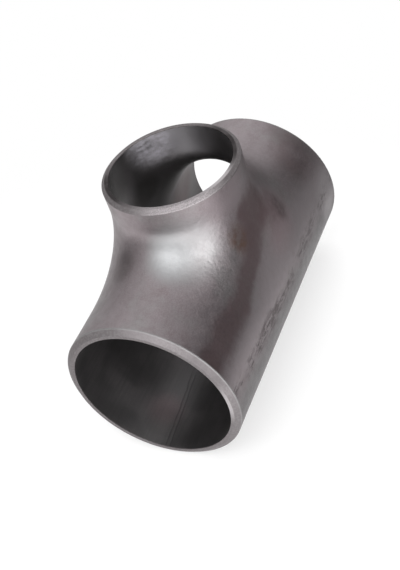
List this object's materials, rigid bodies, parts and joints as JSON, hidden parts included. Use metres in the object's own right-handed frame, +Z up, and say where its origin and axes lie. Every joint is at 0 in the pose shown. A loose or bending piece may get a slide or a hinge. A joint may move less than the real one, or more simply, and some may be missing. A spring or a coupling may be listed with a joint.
{
  "type": "butt weld reducing tee",
  "caption": "Steel pipe fitting: a straight run with a smaller branch square to its middle, every open end bevelled for butt welding.",
  "frame": {"origin": "where the run axis meets the branch axis", "axes": "+X along the run, +Z up the branch, +Y across"},
  "size_m": [0.207, 0.1142, 0.1536],
  "materials": {
    "scaled_steel": "fine blasted grey scale, ground weld bevels"
  },
  "bodies": {
    "root": {"tee_body": "scaled_steel"}
  },
  "joints": []
}
